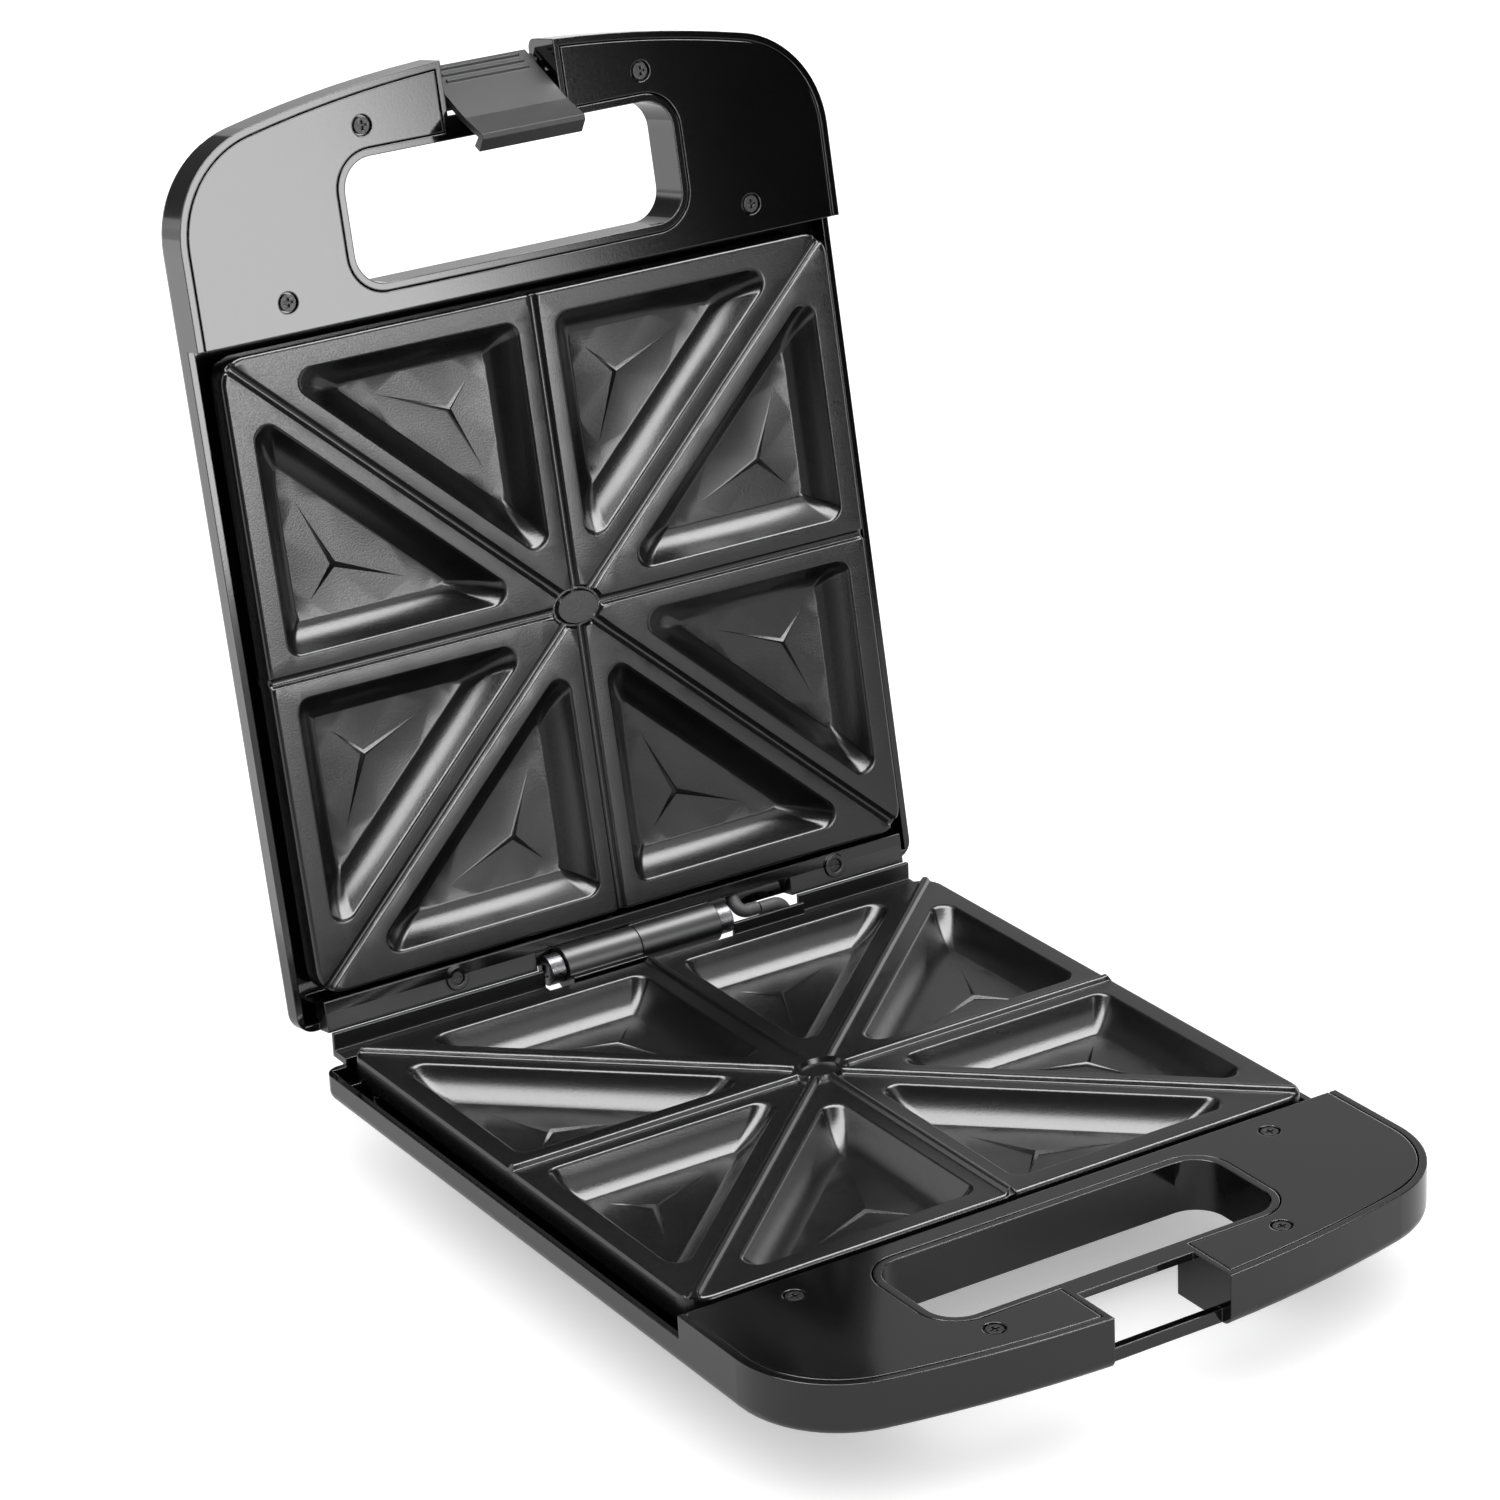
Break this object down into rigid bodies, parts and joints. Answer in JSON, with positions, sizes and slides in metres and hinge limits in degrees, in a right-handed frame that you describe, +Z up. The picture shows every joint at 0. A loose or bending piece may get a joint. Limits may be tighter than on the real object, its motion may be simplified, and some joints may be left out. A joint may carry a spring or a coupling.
{
  "type": "sandwich toaster",
  "caption": "Clam-shell sandwich toaster, open, with triangular pockets in both plates, a finger hole in each handle and a swinging latch.",
  "frame": {"origin": "on the surface the feet rest on, below the centre of the base plate, which is also the middle of the outline to about 1 mm", "axes": "+Z up, +Y from the handle to the hinge, +X to the right of someone who faces the handle"},
  "size_m": [0.254, 0.3931, 0.3576],
  "materials": {
    "gloss_black": "polished black moulding",
    "latch_satin": "satin black moulding",
    "nonstick": "satin dark non-stick coating on aluminium",
    "steel": "zinc-plated steel",
    "element_sheath": "heat-darkened steel tube",
    "bright_tin": "aluminised sheet",
    "ceramic": "unglazed ceramic",
    "black_rubber": "matt rubber",
    "wire_sleeving": "woven glass sleeving",
    "white_nylon": "natural nylon",
    "brass": "plain",
    "red_lens": "clear red",
    "green_lens": "clear green",
    "lamp_glass": "clear glass"
  },
  "bodies": {
    "base": {"base_shell": "gloss_black", "base_handle_cover": "gloss_black", "base_cover_screws": "steel", "base_plate": "nonstick", "base_plate_screws": "steel", "base_heater_clamps": "steel", "base_reflector": "bright_tin", "base_thermostat": "ceramic", "base_thermal_fuse": "ceramic", "base_heating_element": "element_sheath", "feet": "black_rubber", "cord_bush": "black_rubber", "terminal_block": "white_nylon", "cord_clamp": "white_nylon", "earth_tag": "brass", "hinge_pin": "steel", "hinge_cap_left": "steel", "hinge_cap_right": "steel", "base_lead_sleeve": "black_rubber", "base_wiring": "wire_sleeving"},
    "lid": {"lid_shell": "gloss_black", "lid_handle_cover": "gloss_black", "lid_cover_screws": "steel", "lid_plate": "nonstick", "lid_plate_screws": "steel", "lid_heater_clamps": "steel", "lid_reflector": "bright_tin", "lid_thermostat": "ceramic", "lid_thermal_fuse": "ceramic", "lid_heating_element": "element_sheath", "power_lens": "red_lens", "power_lamp": "lamp_glass", "ready_lens": "green_lens", "ready_lamp": "lamp_glass", "lid_strip_screws": "steel", "lid_lead_sleeve": "black_rubber", "lid_wiring": "wire_sleeving"},
    "latch_pin": {"latch_pin": "steel", "latch_cradle": "steel"},
    "latch": {"latch": "latch_satin"}
  },
  "joints": [
    {"name": "lid_hinge", "type": "hinge", "parent": "base", "child": "lid", "pos_m": [0, 0.12425, 0.0433], "axis": [1, 0, 0], "range_deg": [0, 100]},
    {"name": "latch_hang", "type": "hinge", "parent": "lid", "child": "latch_pin", "pos_m": [0, 0.19337, 0.34716], "axis": [-1, 0, 0], "range_deg": [0, 43.5]},
    {"name": "latch_swing", "type": "hinge", "parent": "latch_pin", "child": "latch", "pos_m": [0, 0.19337, 0.34716], "axis": [-1, 0, 0], "range_deg": [-3, 75]}
  ],
  "couplings": [
    {"joint": "latch_hang", "follows": "lid_hinge", "ratio": 0.435}
  ]
}
